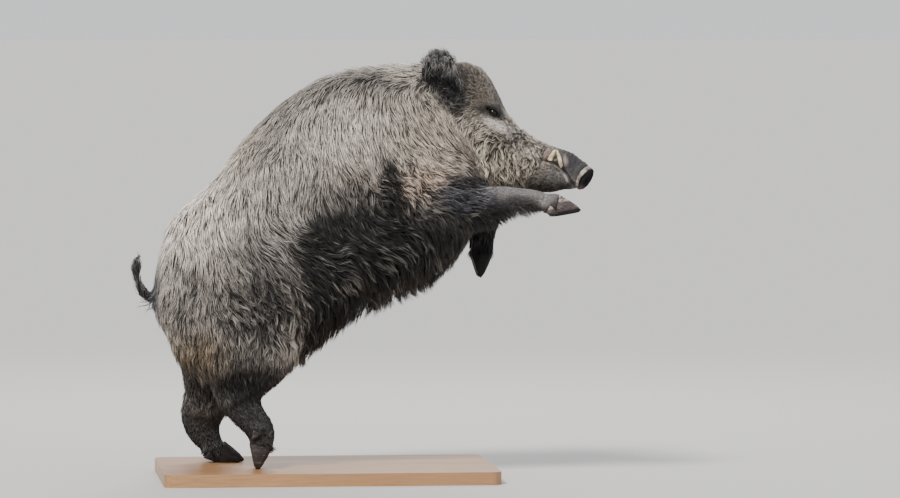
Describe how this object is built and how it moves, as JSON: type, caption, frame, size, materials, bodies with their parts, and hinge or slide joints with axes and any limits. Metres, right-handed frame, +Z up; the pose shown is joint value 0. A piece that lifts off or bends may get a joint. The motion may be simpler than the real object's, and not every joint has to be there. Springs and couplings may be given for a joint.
{
  "type": "wild boar model",
  "caption": "Life-size still model of a male wild boar with a shaggy grey-brown coat, rearing on its hind legs with arched back and lowered head, on a plain flat base.",
  "frame": {"origin": "middle of the base's underside, on the surface that the model stands on", "axes": "+X the way the boar faces, +Y its left side, +Z up"},
  "size_m": [1.0802, 0.5, 1.0016],
  "materials": {
    "coat": "coarse long bristles, grey-brown with pale tips, darker on the flanks and belly",
    "dark_coat": "short to shaggy blackish hair on ears, legs and tail",
    "nose_skin": "moist bare gristle, satin",
    "eye": "dark brown, wet gloss",
    "tusk": "yellowed ivory, satin",
    "hoof": "worn horn, satin",
    "base_wood": "satin varnish"
  },
  "bodies": {
    "root": {"stand_base": "base_wood", "trunk_rump": "coat", "trunk_chest": "coat", "neck": "coat", "head": "coat", "lower_jaw": "coat", "nose_disc": "nose_skin", "ear_right": "dark_coat", "ear_left": "dark_coat", "eye_right": "eye", "eye_left": "eye", "tusk_lower_right": "tusk", "tusk_upper_right": "tusk", "tusk_lower_left": "tusk", "tusk_upper_left": "tusk", "tail": "dark_coat", "thigh_right": "coat", "shank_right": "coat", "hind_cannon_right": "dark_coat", "upper_arm_right": "coat", "forearm_right": "dark_coat", "fore_cannon_right": "dark_coat", "thigh_left": "coat", "shank_left": "coat", "hind_cannon_left": "dark_coat", "upper_arm_left": "coat", "forearm_left": "dark_coat", "fore_cannon_left": "dark_coat", "hoof_hind_right_outer": "hoof", "dewclaw_hind_right_outer": "hoof", "hoof_hind_right_inner": "hoof", "dewclaw_hind_right_inner": "hoof", "hoof_hind_left_outer": "hoof", "dewclaw_hind_left_outer": "hoof", "hoof_hind_left_inner": "hoof", "dewclaw_hind_left_inner": "hoof", "hoof_fore_right_outer": "hoof", "dewclaw_fore_right_outer": "hoof", "hoof_fore_right_inner": "hoof", "dewclaw_fore_right_inner": "hoof", "hoof_fore_left_outer": "hoof", "dewclaw_fore_left_outer": "hoof", "hoof_fore_left_inner": "hoof", "dewclaw_fore_left_inner": "hoof"}
  },
  "joints": []
}
